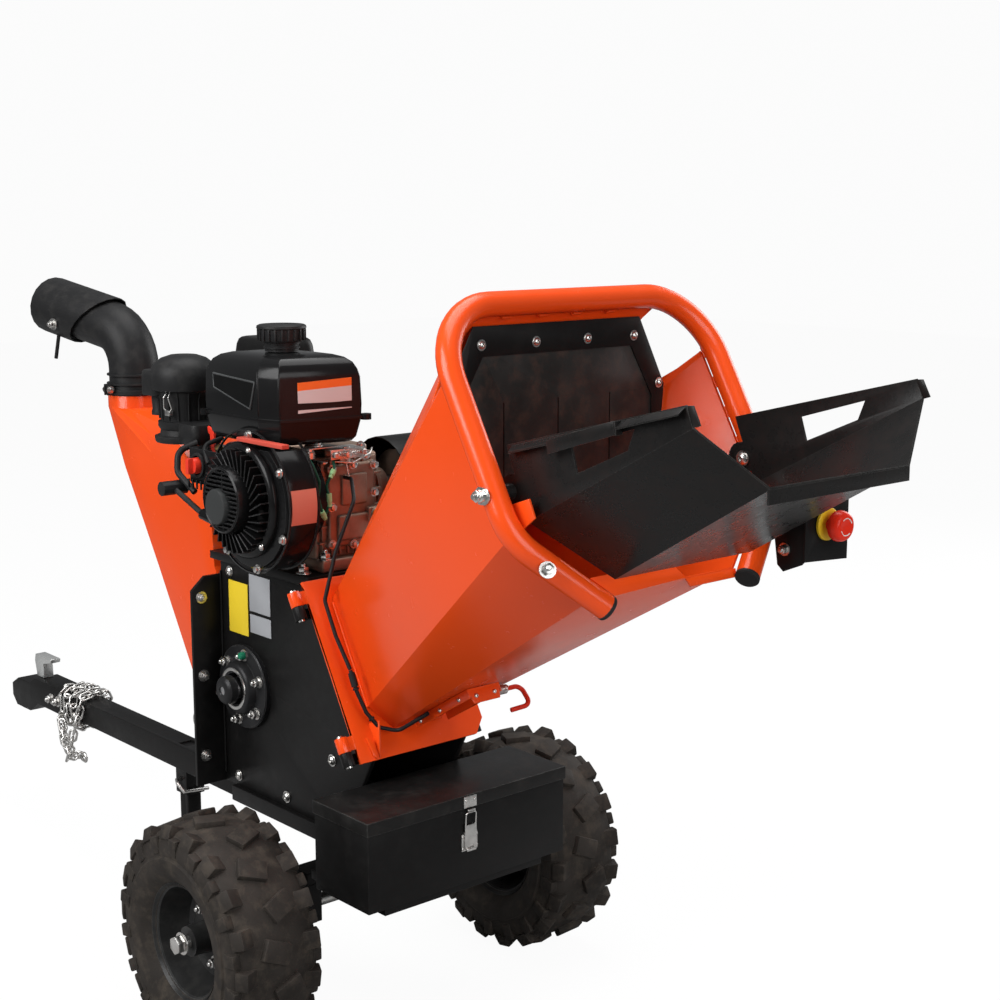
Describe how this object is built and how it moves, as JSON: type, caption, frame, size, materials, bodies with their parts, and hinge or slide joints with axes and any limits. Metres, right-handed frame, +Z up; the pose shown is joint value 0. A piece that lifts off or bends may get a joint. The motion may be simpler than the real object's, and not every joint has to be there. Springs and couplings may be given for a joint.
{
  "type": "towable wood chipper",
  "caption": "Towable petrol wood chipper: slanted infeed hopper with fold-up table, knife rotor under a belt-driving engine, curved discharge chute, tow bar and pneumatic wheels.",
  "frame": {"origin": "centre of the stand foot's underside, on the ground", "axes": "+X toward the infeed mouth, -X toward the tow coupler, +Y toward the belt guard side, +Z up"},
  "size_m": [2.108, 0.738, 1.119],
  "materials": {
    "orange_paint": "satin powder coat",
    "black_paint": "satin powder coat",
    "zinc": "zinc plated",
    "steel": "ground steel",
    "pulley_iron": "machined",
    "tyre_rubber": "moulded",
    "curtain_rubber": "dusty rubber sheet",
    "belt_rubber": "fabric faced rubber",
    "black_plastic": "grained plastic",
    "tank_plastic": "smooth plastic",
    "engine_alloy": "as cast",
    "red_plastic": "glossy",
    "yellow_plastic": "glossy",
    "amber_plastic": "glossy",
    "lead_sheath": "cable sheath"
  },
  "bodies": {
    "chassis": {"chassis_frame": "black_paint", "tow_bar": "black_paint", "coupler_body": "black_paint", "safety_chain": "zinc", "axle": "zinc", "toolbox_body": "black_paint", "side_plate_left": "black_paint", "side_plate_right": "black_paint", "rotor_shell": "black_paint", "rear_flange": "black_paint", "engine_deck": "black_paint", "bearing_left": "black_paint", "bearing_right": "black_paint", "anvil_bar": "steel", "drive_belt": "belt_rubber", "belt_guard": "black_paint", "discharge_chute": "orange_paint", "crankcase": "engine_alloy", "cylinder_head": "engine_alloy", "blower_housing": "black_plastic", "recoil_cover": "black_plastic", "fuel_tank": "tank_plastic", "air_cleaner": "black_plastic", "muffler": "black_paint", "lead_engine_half": "lead_sheath"},
    "wheel_left": {"tyre_left": "tyre_rubber", "rim_left": "black_paint"},
    "wheel_right": {"tyre_right": "tyre_rubber", "rim_right": "black_paint"},
    "stand": {"stand_leg": "black_paint"},
    "stand_lock": {"stand_pin": "zinc"},
    "coupler_lever": {"coupler_latch": "zinc"},
    "lid": {"toolbox_lid": "black_paint"},
    "lid_toggle": {"toolbox_latch": "zinc"},
    "rotor_assembly": {"rotor": "steel", "rotor_knife_1": "steel", "rotor_knife_2": "steel", "rotor_pulley": "pulley_iron"},
    "clutch": {"clutch_pulley": "pulley_iron"},
    "elbow": {"chute_elbow": "black_paint"},
    "deflector": {"deflector_tube": "black_paint"},
    "hopper": {"hopper_shell": "orange_paint", "hopper_flange": "orange_paint", "mouth_frame": "orange_paint", "curtain_frame": "black_paint", "stop_bracket": "black_paint", "stop_collar": "yellow_plastic", "latch_bracket": "orange_paint", "lead_hopper_half": "lead_sheath"},
    "curtain": {"rubber_curtain": "curtain_rubber"},
    "table": {"infeed_table": "black_paint"},
    "stop": {"stop_button": "red_plastic"},
    "hopper_catch": {"latch_handle": "red_plastic"},
    "recoil_grip": {"recoil_handle": "black_plastic"},
    "tank_cap": {"fuel_cap": "black_plastic"},
    "oil_dipstick": {"dipstick": "amber_plastic"},
    "choke": {"choke_lever": "red_plastic"},
    "throttle": {"throttle_lever": "red_plastic"},
    "ignition": {"engine_switch": "red_plastic"}
  },
  "joints": [
    {"name": "wheel_left_spin", "type": "hinge", "parent": "chassis", "child": "wheel_left", "pos_m": [0.57, -0.295, 0.178], "axis": [0, 1, 0], "continuous": true},
    {"name": "wheel_right_spin", "type": "hinge", "parent": "chassis", "child": "wheel_right", "pos_m": [0.57, 0.295, 0.178], "axis": [0, 1, 0], "continuous": true},
    {"name": "rotor_spin", "type": "hinge", "parent": "chassis", "child": "rotor_assembly", "pos_m": [0.342, 0, 0.461], "axis": [0, 1, 0], "continuous": true},
    {"name": "crank_spin", "type": "hinge", "parent": "chassis", "child": "clutch", "pos_m": [0.462, 0.132, 0.785], "axis": [0, 1, 0], "continuous": true},
    {"name": "stand_slide", "type": "slide", "parent": "chassis", "child": "stand", "axis": [0, 0, 1], "range_m": [0, 0.15]},
    {"name": "stand_pin_pull", "type": "slide", "parent": "chassis", "child": "stand_lock", "axis": [0, -1, 0], "range_m": [0, 0.04]},
    {"name": "coupler_lift", "type": "hinge", "parent": "chassis", "child": "coupler_lever", "pos_m": [-0.581, 0, 0.2655], "axis": [0, -1, 0], "range_deg": [0, 55]},
    {"name": "toolbox_lid_open", "type": "hinge", "parent": "chassis", "child": "lid", "pos_m": [0.662, 0, 0.38], "axis": [0, -1, 0], "range_deg": [0, 40]},
    {"name": "toolbox_latch_release", "type": "hinge", "parent": "chassis", "child": "lid_toggle", "pos_m": [0.7923, -0.003, 0.295], "axis": [0, 1, 0], "range_deg": [0, 80]},
    {"name": "elbow_swivel", "type": "hinge", "parent": "chassis", "child": "elbow", "pos_m": [-0.15, 0, 0.885], "axis": [0, 0, 1], "continuous": true},
    {"name": "deflector_tilt", "type": "hinge", "parent": "elbow", "child": "deflector", "pos_m": [-0.31297, -0.02581, 1.0055], "axis": [0.1564, -0.9877, 0], "range_deg": [0, 12]},
    {"name": "hopper_swing", "type": "hinge", "parent": "chassis", "child": "hopper", "pos_m": [0.613, -0.137, 0.54502], "axis": [0.5, 0, -0.866], "range_deg": [0, 85], "deforming": ["lead_engine_half"]},
    {"name": "curtain_swing", "type": "hinge", "parent": "hopper", "child": "curtain", "pos_m": [0.9742, 0, 1.056], "axis": [0, 1, 0], "range_deg": [0, 15]},
    {"name": "table_fold", "type": "hinge", "parent": "hopper", "child": "table", "pos_m": [1.112, 0, 0.89], "axis": [0, -1, 0], "range_deg": [0, 75]},
    {"name": "stop_press", "type": "slide", "parent": "hopper", "child": "stop", "axis": [-1, 0, 0], "range_m": [0, 0.004], "stiffness_N_per_m": 1500, "springref_m": -0.004},
    {"name": "hopper_catch_pull", "type": "slide", "parent": "hopper", "child": "hopper_catch", "axis": [0, 1, 0], "range_m": [0, 0.015], "stiffness_N_per_m": 400, "springref_m": -0.01},
    {"name": "recoil_pull", "type": "slide", "parent": "chassis", "child": "recoil_grip", "axis": [-0.9422, 0, 0.335], "range_m": [0, 0.2], "stiffness_N_per_m": 60, "springref_m": -0.1},
    {"name": "fuel_cap_turn", "type": "hinge", "parent": "chassis", "child": "tank_cap", "pos_m": [0.448, -0.08, 1.0063], "axis": [0, 0, 1], "range_deg": [0, 120]},
    {"name": "dipstick_turn", "type": "hinge", "parent": "chassis", "child": "oil_dipstick", "pos_m": [0.5283, 0.04, 0.75], "axis": [1, 0, 0], "range_deg": [0, 340]},
    {"name": "choke_move", "type": "hinge", "parent": "chassis", "child": "choke", "pos_m": [0.28, -0.1003, 0.842], "axis": [0, 1, 0], "range_deg": [0, 30]},
    {"name": "throttle_slide", "type": "slide", "parent": "chassis", "child": "throttle", "axis": [1, 0, 0], "range_m": [-0.03, 0]},
    {"name": "engine_switch_turn", "type": "hinge", "parent": "chassis", "child": "ignition", "pos_m": [0.322, -0.1553, 0.824], "axis": [0, 1, 0], "range_deg": [0, 90]}
  ],
  "couplings": [
    {"joint": "crank_spin", "follows": "rotor_spin", "ratio": 1.4348}
  ]
}
